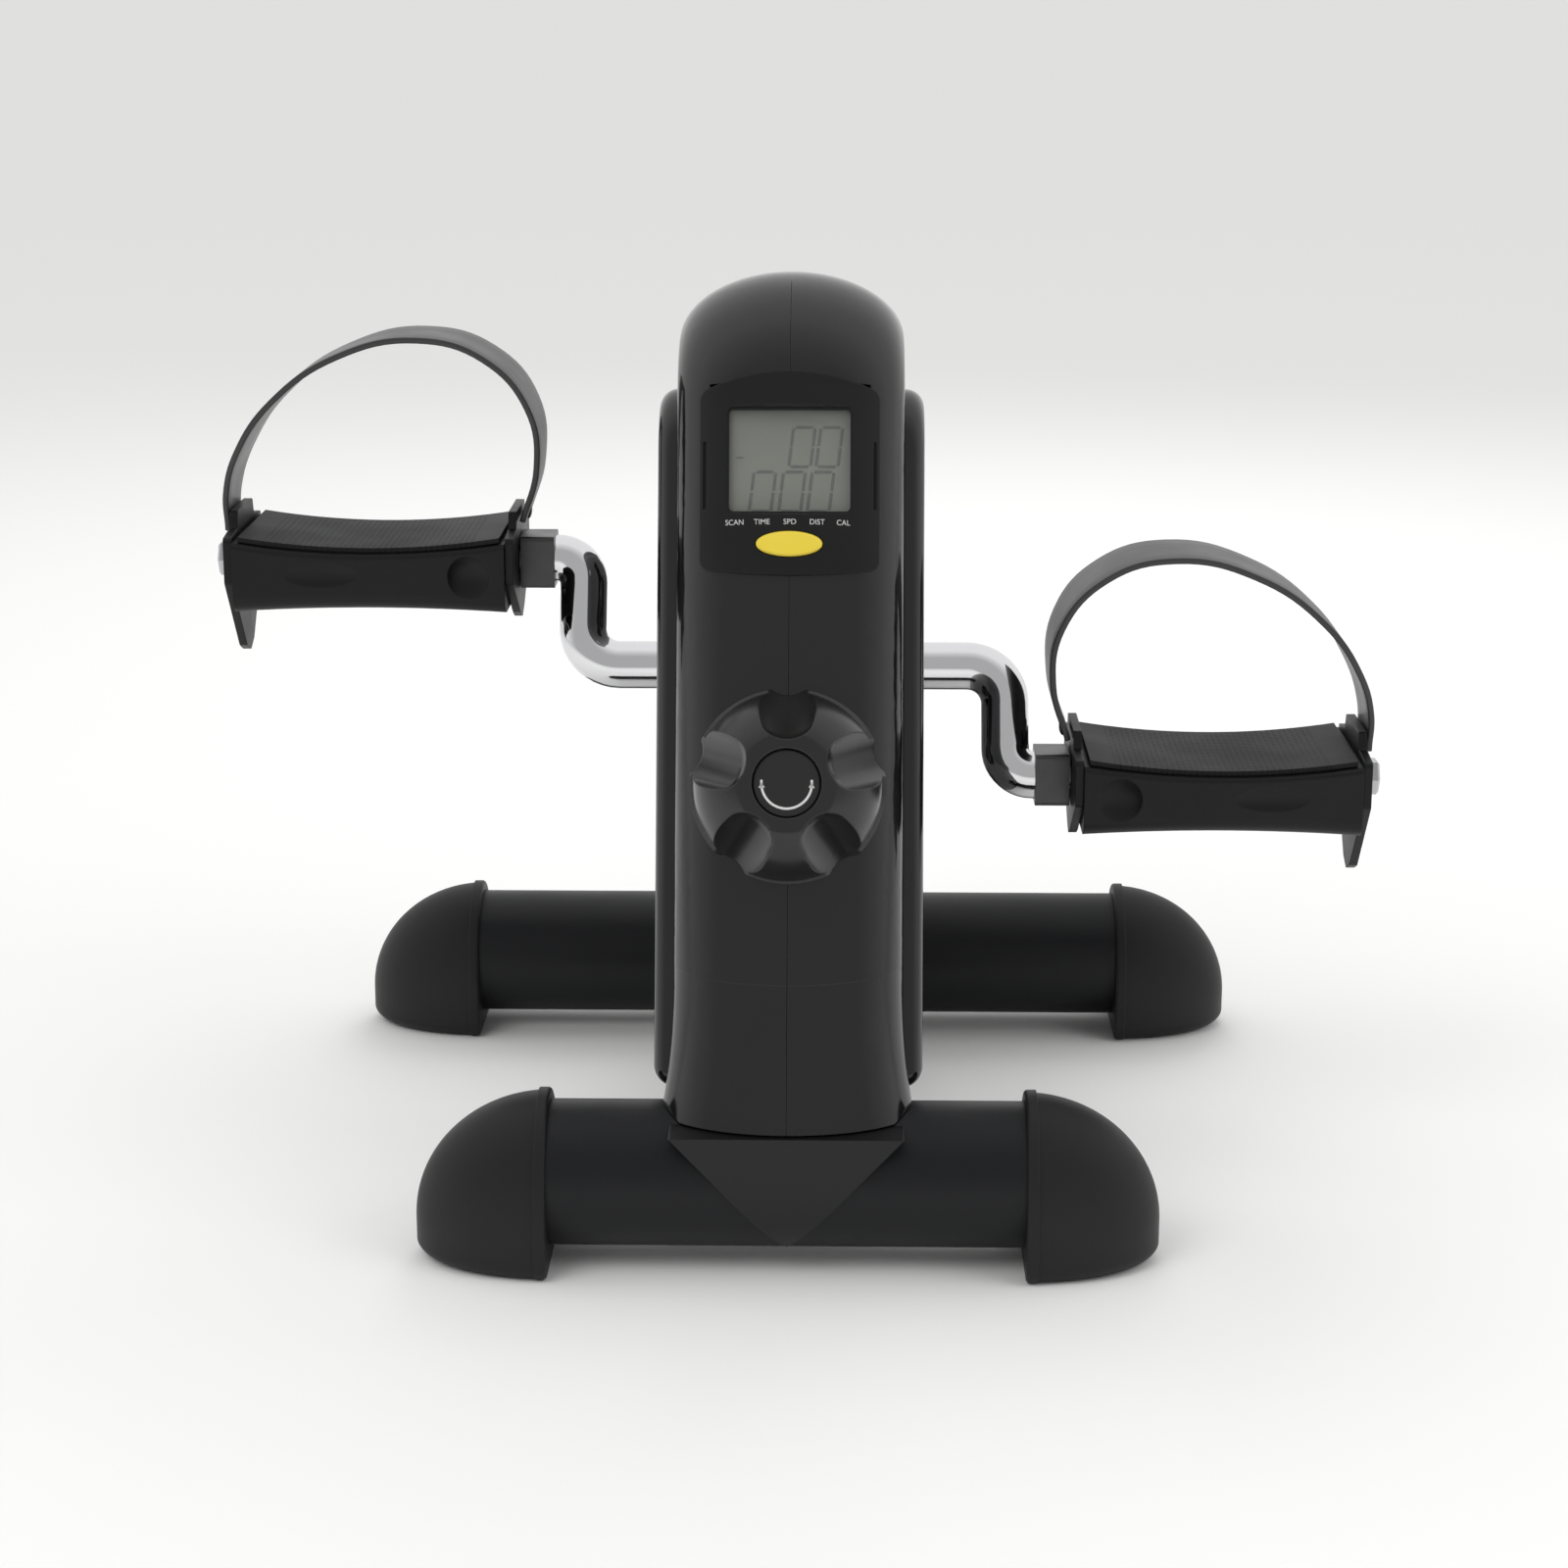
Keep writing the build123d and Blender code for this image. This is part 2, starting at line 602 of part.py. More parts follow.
with BuildPart() as magnet_bracket:
    with BuildSketch(Plane.YZ.offset(wheel_x)):
        with BuildLine():
            mid = bracket_in + bracket_t / 2
            CenterArc((wheel_y, wheel_z), mid, bracket_from, bracket_to - bracket_from)
            Line(on_wheel(mid, bracket_to), (pin_y, pin_z))
        trace(line_width=bracket_t)
        with Locations((pin_y, pin_z)):
            Circle(6.5)
    extrude(amount=10, both=True)
    with Locations((wheel_x, pin_y, pin_z)):
        Cylinder(3 + running, 30, rotation=(0, 90, 0), mode=Mode.SUBTRACT)
    with BuildSketch(Plane.YZ.offset(wheel_x)):
        with Locations((wheel_y, wheel_z)):
            Circle(bracket_in)
    extrude(amount=12, both=True, mode=Mode.SUBTRACT)
save(magnet_bracket, "magnet_bracket")

with BuildPart() as brake_magnets:
    for angle in range(167, 210, 12):
        outward = (0, cos(radians(angle)), sin(radians(angle)))
        place = (wheel_x, *on_wheel(bracket_in - 1.7, angle))
        with BuildSketch(Plane(place, x_dir=(1, 0, 0), z_dir=outward)):
            Rectangle(16, 10)
        extrude(amount=1.3, both=True)
save(brake_magnets, "brake_magnets")

with BuildPart() as bracket_pin:
    with Locations((0, pin_y, pin_z)):
        Cylinder(3, 66, rotation=(0, 90, 0))
    with Locations((33.5, pin_y, pin_z), (-33.5, pin_y, pin_z)):
        Cylinder(4.6, 2, rotation=(0, 90, 0))
save(bracket_pin, "bracket_pin")

with BuildPart() as bracket_spring:
    with Locations(*[(x, pin_y, pin_z) for x in (2.5, 4.1, 5.7, 7.3)]):
        Torus(4.6, 0.75, rotation=(0, 90, 0))
    with Locations((4.9, pin_y, pin_z + 4.6)):
        Cylinder(0.7, 5, rotation=(0, 90, 0))
    with Locations((7.3, pin_y - 6, pin_z - 4.6)):
        Cylinder(0.7, 14, rotation=(90, 0, 0))
save(bracket_spring, "bracket_spring")

# ---- tension knob ----------------------------------------------------------------------
lobes = 5
knob_height = 27.0
knob_rim = 16.5             # radius of the flat rim round the cap
cap_r = 11.2
scoop_r = 11.0
knob_axis = Axis(face_plane(knob_z).origin, face_plane(knob_z).z_dir)
knob_side = Plane(face_plane(knob_z).origin, x_dir=(1, 0, 0), z_dir=-face_plane(knob_z).y_dir)

# A finger scoop: a round-ended groove that runs down the knob's flank.
with BuildPart() as knob_scoop:
    with BuildLine(face_plane(knob_z)):
        scoop_line = Line((0, 25.5, 27.5), (0, 43, 2.5))
    with BuildSketch(Plane(scoop_line @ 0, z_dir=scoop_line % 0)):
        Circle(scoop_r)
    sweep(path=scoop_line)
    with Locations(scoop_line @ 0):
        Sphere(scoop_r)

with BuildPart() as tension_knob:
    with BuildSketch(knob_side):
        with BuildLine():
            Polyline((0, 1), (knob_r, 1), (knob_r, 3), (knob_r - 1.2, 4))
            ThreePointArc((knob_r - 1.2, 4), (27.5, 17.5), (knob_rim, knob_height))
            Polyline((knob_rim, knob_height), (0, knob_height), (0, 1))
        make_face()
    revolve(axis=knob_axis)
    for turn_by in range(0, 360, 360 // lobes):
        add(knob_scoop.part.rotate(knob_axis, turn_by), mode=Mode.SUBTRACT)
    with BuildSketch(face_plane(knob_z, knob_height - 4)):
        Circle(cap_r + 0.3)
    extrude(amount=20, mode=Mode.SUBTRACT)
    with BuildSketch(face_plane(knob_z)):
        Circle(spindle_r + 0.02)
    extrude(amount=18, mode=Mode.SUBTRACT)
save(tension_knob, "tension_knob")

with BuildPart() as knob_cap:
    with BuildSketch(face_plane(knob_z, knob_height - 3.95)):
        Circle(cap_r)
    extrude(amount=2.6)
    fillet(knob_cap.faces().sort_by(knob_axis)[-1].edges(), 0.6)
save(knob_cap, "knob_cap")

with BuildPart() as knob_spindle:
    with BuildSketch(face_plane(knob_z, -34)):
        Circle(spindle_r)
    extrude(amount=50)
save(knob_spindle, "knob_spindle")

# ---- computer --------------------------------------------------------------------------
# A snap-in module on the leaning front: bezel, window, screen, button, board and battery.
bezel_half, bezel_high = 30.5, 69.0
bezel_crown = 58.0          # radius of the bezel's front across the face
bezel_lift = 2.2
window_half, window_high, window_up = 21.0, 35.5, 4.8
window_lift = -2.5
button_up = -24.0
button_a, button_b = 11.2, 4.3
button_lift = 3.2
case_front, case_back = -9.0, -24.0
screen_frame = face_plane(screen_z)
face_axis = Axis(screen_frame.origin, screen_frame.z_dir)


def across_face(up):
    """A plane square to the face's upward direction: x to the left, y outwards."""
    origin = screen_frame.origin + screen_frame.y_dir * up
    return Plane(origin, x_dir=(-1, 0, 0), z_dir=screen_frame.y_dir)


with BuildPart() as bezel_room:
    add(spine_outer)
    with BuildSketch(face_plane(screen_z, -30)):
        Rectangle(2 * case_half_x - 0.4, 2 * case_half_y - 0.4)
    extrude(amount=60, mode=Mode.SUBTRACT)

with BuildPart() as computer_bezel:
    with BuildSketch(face_plane(screen_z, case_front)) as bezel_section:
        with BuildLine():
            side_low, side_high = -bezel_high / 2 + 2.5, bezel_high / 2 - 6
            Line((-bezel_half, side_low), (-bezel_half, side_high))
            ThreePointArc((-bezel_half, side_high), (0, bezel_high / 2), (bezel_half, side_high))
            Line((bezel_half, side_high), (bezel_half, side_low))
            ThreePointArc((bezel_half, side_low), (0, -bezel_high / 2), (-bezel_half, side_low))
        make_face()
        fillet(bezel_section.vertices(), 4)
    extrude(amount=20)
    with BuildSketch(across_face(-40)):
        with Locations((0, bezel_lift - bezel_crown)):
            Circle(bezel_crown)
    extrude(amount=80, mode=Mode.INTERSECT)
    add(bezel_room.part, mode=Mode.SUBTRACT)
    with BuildSketch(face_plane(screen_z, window_lift)):
        with Locations((0, window_up)):
            RectangleRounded(2 * window_half, window_high, 1.5)
    extrude(amount=10, taper=-12, mode=Mode.SUBTRACT)
    with BuildSketch(face_plane(screen_z, window_lift - 1.6)):
        with Locations((0, window_up)):
            RectangleRounded(2 * window_half + 4, window_high + 4, 1.5)
    extrude(amount=-12, mode=Mode.SUBTRACT)
    with BuildSketch(face_plane(screen_z, window_lift - 2)):
        with Locations((0, window_up)):
            RectangleRounded(2 * window_half - 1, window_high - 1, 1.5)
    extrude(amount=4, mode=Mode.SUBTRACT)
    with BuildSketch(face_plane(screen_z, -12)):
        with Locations((0, button_up)):
            Ellipse(button_a + 0.3, button_b + 0.3)
    extrude(amount=20, mode=Mode.SUBTRACT)
    with BuildSketch(face_plane(screen_z, -7.2)):
        with GridLocations(2 * (bezel_half - 1.6), 0, 2, 1):
            Rectangle(1, 23)
    extrude(amount=12, mode=Mode.SUBTRACT)
save(computer_bezel, "computer_bezel")

with BuildPart() as display_window:
    with BuildSketch(face_plane(screen_z, window_lift - 1.65)):
        with Locations((0, window_up)):
            RectangleRounded(2 * window_half + 3.8, window_high + 3.8, 1.6)
    extrude(amount=-1.5)
save(display_window, "display_window")

with BuildPart() as lcd_panel:
    with BuildSketch(face_plane(screen_z, window_lift - 3.2)):
        with Locations((0, window_up)):
            RectangleRounded(2 * window_half + 3.8, window_high + 3.8, 1.6)
    extrude(amount=-2)
save(lcd_panel, "lcd_panel")

with BuildPart() as mode_button:
    with BuildSketch(face_plane(screen_z, -8)):
        with Locations((0, button_up)):
            Ellipse(button_a, button_b)
    extrude(amount=8 + button_lift)
    fillet(mode_button.faces().sort_by(face_axis)[-1].edges(), 1.0)
save(mode_button, "mode_button")

with BuildPart() as computer_case:
    with BuildSketch(face_plane(screen_z, case_back)):
        RectangleRounded(2 * case_half_x, 2 * case_half_y, 3)
    extrude(amount=case_front - 0.05 - case_back)
    with BuildSketch(face_plane(screen_z, case_back + 2)):
        RectangleRounded(2 * case_half_x - 4, 2 * case_half_y - 4, 2)
    extrude(amount=30, mode=Mode.SUBTRACT)
    with BuildSketch(face_plane(screen_z, case_back - 1)):
        with Locations((16, 24)):
            Circle(1.6)
        Rectangle(47, 13)
    extrude(amount=10, mode=Mode.SUBTRACT)
save(computer_case, "computer_case")

with BuildPart() as circuit_board:
    with BuildSketch(face_plane(screen_z, -11.6)):
        Rectangle(48, 54)
        with GridLocations(40, 46, 2, 2):
            Circle(1.2, mode=Mode.SUBTRACT)
    extrude(amount=1.6)
    with BuildSketch(face_plane(screen_z, -11.6)):
        with Locations((-10, 16), (12, 18), (12, -16), (-12, -18)):
            Rectangle(9, 6)
    extrude(amount=-1.4)
save(circuit_board, "circuit_board")

with BuildPart() as battery:
    with Locations(face_plane(screen_z, -18.6)):
        Cylinder(5.2, 43, rotation=(0, 90, 0))
        with Locations((22.2, 0, 0)):
            Cylinder(1.9, 1.4, rotation=(0, 90, 0))
save(battery, "battery")

with BuildPart() as battery_cover:
    with BuildSketch(face_plane(screen_z, case_back - 1.6)):
        RectangleRounded(51, 17, 2)
    extrude(amount=1.5)
save(battery_cover, "battery_cover")

# ---- speed sensor and cables -----------------------------------------------------------
reach = hypot(wheel_y, wheel_z - axle_z)
reed_y = sensor_r * wheel_y / reach
reed_z = axle_z + sensor_r * (wheel_z - axle_z) / reach
with BuildPart() as reed_sensor:
    with Locations((plate_in - 1.85, reed_y, reed_z)):
        Box(3.5, 14, 8)
save(reed_sensor, "reed_sensor")


def cord(points, bend, radius):
    """A round cord along straight runs joined by arcs."""
    with BuildPart() as run_of_cord:
        with BuildLine() as route:
            FilletPolyline(*points, radius=bend)
        with BuildSketch(Plane(route.line @ 0, z_dir=route.line % 0)):
            Circle(radius)
        sweep(path=route.line)
    return run_of_cord.part


wire_x = 22.3
wire_exit = screen_frame.origin + screen_frame.y_dir * 24 + screen_frame.z_dir * (case_back + 6)
sensor_route = [
    (wire_x, reed_y + 8.4, reed_z),
    (wire_x, reed_y + 15, reed_z + 22),
    (wire_x, reed_y - 2, reed_z + 66),
    (wire_x, -18, 244),
    (16, wire_exit.Y + 10 * cos_l, wire_exit.Z - 10 * sin_l),
    (16, wire_exit.Y, wire_exit.Z),
]
with BuildPart() as sensor_wire:
    add(cord(sensor_route, 3, 1.1))
save(sensor_wire, "sensor_wire")

spindle_end = face_plane(knob_z, -34.6).origin
stop_y, stop_z = on_wheel(bracket_in + bracket_t / 2, bracket_from + 4)
cable_route = [
    (0, spindle_end.Y, spindle_end.Z),
    (-2, spindle_end.Y + 18, spindle_end.Z - 6),
    (-8, stop_y - 28, stop_z + 1),
    (wheel_x, stop_y - 8.5, stop_z),
]
with BuildPart() as tension_cable:
    add(cord(cable_route, 12, 2.2))
save(tension_cable, "tension_cable")

# ---- pedals ----------------------------------------------------------------------------
plate_t = 3.0
body_top, body_bottom = 11.0, -15.0
dish, waist = 3.8, 1.6      # how far the tread and the underside curve in
tread_t = 1.8
tread_inset = 2.0
inner_tip, outer_tip = -22.0, -35.0
strap_w, strap_t = 30.0, 2.6
tab_top = 20.0


def end_plate(tip):
    """An end plate from the side: a tab for the strap, square shoulders and a hanging tip."""
    with BuildSketch() as section:
        with BuildLine():
            Polyline(
                (-15, tab_top), (15, tab_top), (17, 14), (31, 12.5), (31, -4),
                (7, tip + 3), (0, tip), (-7, tip + 3), (-31, -4), (-31, 12.5), (-17, 14),
                close=True,
            )
        make_face()
        fillet(section.vertices(), 2)
        Circle(axle_r + 0.3, mode=Mode.SUBTRACT)
    return section.sketch


def dished_slab(left, right, low, high, low_rise, high_rise):
    """A flat sketch, upright: straight ends, and a top and bottom that curve in the middle."""
    centre = (left + right) / 2
    with BuildSketch() as section:
        with BuildLine():
            Line((left, low), (left, high))
            ThreePointArc((left, high), (centre, high + high_rise), (right, high))
            Line((right, high), (right, low))
            ThreePointArc((right, low), (centre, low + low_rise), (left, low))
        make_face()
    return section.sketch


# A long shallow hollow for the pedal's front and back faces.
with BuildPart() as long_dimple:
    Sphere(10)
    scale(by=(1.8, 0.3, 0.6))

for side, name in ((-1, "left"), (1, "right")):
    axle_y, height = -side * throw_y, axle_z - side * throw_z
    span_in, span_out = pedal_in + plate_t + 0.1, pedal_out - plate_t - 0.1
    middle_x, half_span = (span_in + span_out) / 2, (span_out - span_in) / 2
    pedal_plane = Plane((side * middle_x, axle_y, height), x_dir=(1, 0, 0), z_dir=(0, -1, 0))

    with BuildPart() as pedal_body:
        with BuildSketch(pedal_plane):
            add(dished_slab(-half_span, half_span, body_bottom, body_top, waist, -dish))
        extrude(amount=pedal_depth / 2, both=True)
        fillet(pedal_body.edges().filter_by(GeomType.CIRCLE).group_by(Axis.Z)[0], 6)
        fillet(pedal_body.edges().filter_by(GeomType.CIRCLE).sort_by(Axis.Z)[-2:], 2)
        with Locations((side * middle_x, axle_y, height)):
            Cylinder(axle_r + 1, 200, rotation=(0, 90, 0), mode=Mode.SUBTRACT)
        with Locations((side * span_in, axle_y, height), (side * span_out, axle_y, height)):
            Cylinder(8.5, 24, rotation=(0, 90, 0), mode=Mode.SUBTRACT)
        with Locations((side * middle_x, axle_y, height + body_bottom)):
            with GridLocations(30, 42, 3, 2):
                Box(25, 14, 20, mode=Mode.SUBTRACT)
        for front in (-1, 1):
            with Locations((side * (span_in + 13), axle_y + front * (pedal_depth / 2 + 9), height - 1)):
                Sphere(12, mode=Mode.SUBTRACT)
            hollow = (side * (span_in + 67), axle_y + front * (pedal_depth / 2 + 2), height - 0.5)
            add(long_dimple.part.moved(Location(hollow)), mode=Mode.SUBTRACT)
    save(pedal_body, f"{name}_pedal_body")

    with BuildPart() as pedal_tread:
        half_tread = half_span - tread_inset
        low = body_top + 0.1
        with BuildSketch(pedal_plane):
            add(dished_slab(-half_tread, half_tread, low, low + tread_t, -dish, -dish))
        extrude(amount=pedal_depth / 2 - 3, both=True)
    save(pedal_tread, f"{name}_pedal_tread")

    with BuildPart() as end_plates:
        for x, tip in ((pedal_in + plate_t / 2, inner_tip), (pedal_out - plate_t / 2, outer_tip)):
            with BuildSketch(Plane((side * x, axle_y, height), x_dir=(0, 1, 0), z_dir=(1, 0, 0))):
                add(end_plate(tip))
            extrude(amount=plate_t / 2, both=True)
    save(end_plates, f"{name}_pedal_end_plates")

    with BuildPart() as pedal_bushes:
        for x, inward in ((span_in, 1), (span_out, -1)):
            with BuildSketch(Plane.YZ.offset(side * (x + inward * 0.1))):
                with Locations((axle_y, height)):
                    Circle(8.45)
                    Circle(axle_r + running, mode=Mode.SUBTRACT)
            extrude(amount=side * inward * 11.6)
    save(pedal_bushes, f"{name}_pedal_bushes")

    with BuildPart() as pedal_strap:
        with BuildSketch(Plane((0, axle_y, height), x_dir=(1, 0, 0), z_dir=(0, -1, 0))):
            with BuildLine():
                Spline(
                    (side * (pedal_in - 1.6), 15.5),
                    (side * 94, 36),
                    (side * 96.5, 58),
                    (side * 112, 76),
                    (side * 136, 83),
                    (side * 165, 77),
                    (side * 190, 60),
                    (side * 203, 42),
                    (side * (pedal_out + 1.4), 26),
                    (side * (pedal_out + 1.6), 12),
                )
            trace(line_width=strap_t)
        extrude(amount=strap_w / 2, both=True)
    save(pedal_strap, f"{name}_pedal_strap")
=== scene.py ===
# %% [markdown]
# A pedal exerciser: a glossy black housing on two steel tubes, a chrome crank and two
# strapped pedals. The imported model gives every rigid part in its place. This script gives
# those parts their finishes, and adds the soft straps, the display's digits and the prints.

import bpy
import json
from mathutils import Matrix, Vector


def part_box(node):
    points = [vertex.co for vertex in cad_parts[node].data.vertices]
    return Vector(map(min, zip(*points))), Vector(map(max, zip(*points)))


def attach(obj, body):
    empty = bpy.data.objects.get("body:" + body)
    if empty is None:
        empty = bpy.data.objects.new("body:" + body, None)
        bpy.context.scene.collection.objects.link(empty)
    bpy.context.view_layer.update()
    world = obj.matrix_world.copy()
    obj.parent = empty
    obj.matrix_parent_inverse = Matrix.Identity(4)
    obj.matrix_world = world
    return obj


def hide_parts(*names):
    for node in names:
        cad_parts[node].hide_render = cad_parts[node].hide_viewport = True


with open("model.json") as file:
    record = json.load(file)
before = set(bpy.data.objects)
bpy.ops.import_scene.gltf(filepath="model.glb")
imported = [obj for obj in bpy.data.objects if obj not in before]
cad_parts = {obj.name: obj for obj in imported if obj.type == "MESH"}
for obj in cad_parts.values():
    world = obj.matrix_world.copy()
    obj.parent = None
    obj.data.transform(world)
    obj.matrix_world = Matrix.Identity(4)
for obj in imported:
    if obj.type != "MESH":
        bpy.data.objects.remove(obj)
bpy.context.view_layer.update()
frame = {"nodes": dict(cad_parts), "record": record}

import json
from math import asin, cos, pi, radians, sin, sqrt, tau

import bmesh
import bpy
from mathutils import Matrix, Vector

MM = 0.001

# %% [markdown]
# The housing's front leans back. Its directions and the knob's centre come from the joint
# that the knob turns on, so whatever is printed there follows the part if it changes.

# %% Places on the leaning front
joints = {joint["name"]: joint for joint in frame["record"]["behaviour"]["joints"]}
knob_centre = Vector(joints["knob_turn"]["pos_m"])
out_of_face = Vector(joints["knob_turn"]["axis"]).normalized()
across_face = Vector((1, 0, 0))
up_face = out_of_face.cross(across_face)


def reach(node, direction):
    """How far a node reaches along a direction, as its lowest and highest distance from the knob's centre."""
    distances = [(vertex.co - knob_centre).dot(direction) for vertex in frame["nodes"][node].data.vertices]
    return min(distances), max(distances)


def face_matrix(right, up, lift, turn=0.0):
    """A place on the front: x to the right, y up the face, z outwards, turned about the way up."""
    place = knob_centre + across_face * right + up_face * up + out_of_face * lift
    axes = Matrix((across_face, up_face, out_of_face)).transposed().to_4x4()
    return Matrix.Translation(place) @ axes @ Matrix.Rotation(turn, 4, "Y")


screen_low, screen_high = reach("display_window", up_face)
screen_middle = (screen_low + screen_high) / 2
screen_face = reach("lcd_panel", out_of_face)[1]
print("screen middle above the knob:", round(screen_middle / MM, 2), "mm; screen face:", round(screen_face / MM, 2))

# %% [markdown]
# The camera stands on the user's side and looks slightly down at the machine.

# %% Camera
camera = bpy.data.objects.new("camera", bpy.data.cameras.new("camera"))
camera.data.lens = 73.3
camera.data.sensor_width = 36
camera.location = (0.0177, -1.152, 0.437)
camera.rotation_euler = (radians(75.3), 0, radians(1.05))
bpy.context.collection.objects.link(camera)
bpy.context.scene.camera = camera

# %% Helpers for materials


def linear(hex_colour):
    """A linear RGBA colour from an sRGB hex value."""
    channels = [int(hex_colour[i:i + 2], 16) / 255 for i in (1, 3, 5)]
    return (*[c / 12.92 if c <= 0.04045 else ((c + 0.055) / 1.055) ** 2.4 for c in channels], 1)


def add_node(tree, kind, inputs=None, **settings):
    """Adds a node with its settings. An input that is given a socket is linked to it."""
    node = tree.nodes.new(kind)
    for name, value in settings.items():
        setattr(node, name, value)
    for name, value in (inputs or {}).items():
        if isinstance(value, bpy.types.NodeSocket):
            tree.links.new(value, node.inputs[name])
        else:
            node.inputs[name].default_value = value
    return node


# %% [markdown]
# The studio is a pale sweep of floor under a white sky that is dimmer on the user's side. A
# glossy black part shows little colour of its own: what the eye reads is the white room in
# it, faint where the surface faces the camera and bright where it turns away. Three soft
# boxes shade the matt parts slightly, and none of them shows as a reflection.

# %% Floor, sky and lights
floor_half = 60
dim_sky, full_sky = 0.5, 0.95
floor_bm = bmesh.new()
bmesh.ops.create_grid(floor_bm, x_segments=1, y_segments=1, size=floor_half)
floor_mesh = bpy.data.meshes.new("studio_floor")
floor_bm.to_mesh(floor_mesh)
studio_floor = bpy.data.objects.new("studio_floor", floor_mesh)
bpy.context.collection.objects.link(studio_floor)

floor_paint = bpy.data.materials.new("matt white studio paint")
floor_paint.use_nodes = True
floor_shader = floor_paint.node_tree.nodes["Principled BSDF"]
floor_shader.inputs["Base Color"].default_value = linear("#F4F4F3")
floor_shader.inputs["Roughness"].default_value = 0.9
floor_mesh.materials.append(floor_paint)

sky = bpy.data.worlds.new("white studio")
sky.use_nodes = True
background = sky.node_tree.nodes["Background"]
background.inputs["Color"].default_value = linear("#FFFFFF")
# The user's side of the room is dimmer, so faces turned to the user stay dark.
direction = add_node(sky.node_tree, "ShaderNodeTexCoord").outputs["Generated"]
heading = add_node(sky.node_tree, "ShaderNodeSeparateXYZ", {0: direction})
brightness = add_node(sky.node_tree, "ShaderNodeMapRange", {"Value": heading.outputs["Y"], "From Min": -0.6,
                                                            "From Max": 0.0, "To Min": dim_sky, "To Max": full_sky})
sky.node_tree.links.new(brightness.outputs["Result"], background.inputs["Strength"])
bpy.context.scene.world = sky
bpy.context.scene.view_settings.view_transform = "Standard"

soft_boxes = (
    ("key_box", (-0.9, -1.1, 1.5), 1.0, 9),
    ("fill_box", (1.2, -0.7, 1.0), 0.8, 4),
    ("back_box", (0.2, 1.3, 1.2), 0.9, 6),
)
aim = Vector((0, 0, 0.15))
for name, place, size, power in soft_boxes:
    light = bpy.data.objects.new(name, bpy.data.lights.new(name, "AREA"))
    light.data.size = size
    light.data.energy = power
    light.location = place
    light.visible_glossy = False
    light.rotation_euler = (aim - Vector(place)).to_track_quat("-Z", "Y").to_euler()
    bpy.context.collection.objects.link(light)
print("studio with", len(soft_boxes), "soft boxes")

# %% [markdown]
# Nearly every part here is moulded plastic, painted steel or bare metal. They share one
# recipe: two close shades in soft patches, a roughness that wanders a little, a grain in
# relief, and edges that are rounded and slightly paler where hands and shoes rub them.

# %% One recipe for moulded, painted and metal surfaces


def finish(name, shades, worn, roughness, grain_mm, relief_mm, patch_mm=30, edge_mm=0.4, wear=0.35, **constants):
    """A material from real sizes in millimetres. Constants go straight on the shader's sockets."""
    material = bpy.data.materials.new(name)
    material.use_nodes = True
    tree = material.node_tree
    shader = tree.nodes["Principled BSDF"]
    place = add_node(tree, "ShaderNodeTexCoord").outputs["Object"]
    patches = add_node(tree, "ShaderNodeTexNoise", {"Vector": place, "Scale": 1000 / patch_mm, "Detail": 3})
    grain = add_node(tree, "ShaderNodeTexNoise", {"Vector": place, "Scale": 1000 / grain_mm, "Detail": 2})
    rounded = add_node(tree, "ShaderNodeBevel", {"Radius": edge_mm * MM}, samples=4)
    flat = add_node(tree, "ShaderNodeNewGeometry")
    alike = add_node(tree, "ShaderNodeVectorMath", {0: rounded.outputs["Normal"], 1: flat.outputs["Normal"]},
                     operation="DOT_PRODUCT")
    edge = add_node(tree, "ShaderNodeMapRange", {"Value": alike.outputs["Value"], "From Min": 0.99,
                                                 "From Max": 0.8, "To Min": 0, "To Max": wear})
    shade = add_node(tree, "ShaderNodeMix", {0: patches.outputs["Fac"], 6: linear(shades[0]), 7: linear(shades[1])},
                     data_type="RGBA")
    rubbed = add_node(tree, "ShaderNodeMix", {0: edge.outputs["Result"], 6: shade.outputs[2], 7: linear(worn)},
                      data_type="RGBA")
    gloss = add_node(tree, "ShaderNodeMapRange", {"Value": patches.outputs["Fac"], "From Min": 0.3,
                                                  "From Max": 0.7, "To Min": roughness[0], "To Max": roughness[1]})
    relief = add_node(tree, "ShaderNodeBump", {"Height": grain.outputs["Fac"], "Distance": relief_mm * MM,
                                               "Normal": rounded.outputs["Normal"]})
    tree.links.new(rubbed.outputs[2], shader.inputs["Base Color"])
    tree.links.new(gloss.outputs["Result"], shader.inputs["Roughness"])
    tree.links.new(relief.outputs["Normal"], shader.inputs["Normal"])
    for socket, value in constants.items():
        shader.inputs[socket.replace("_", " ")].default_value = value
    return material


# %% [markdown]
# ABS from a polished mould is as smooth as glass, with the faint waviness that moulders call
# orange peel. Feet and pedals come from etched moulds, so light spreads over them. Powder
# coat is baked dust, a little bluer, with a coarser skin.

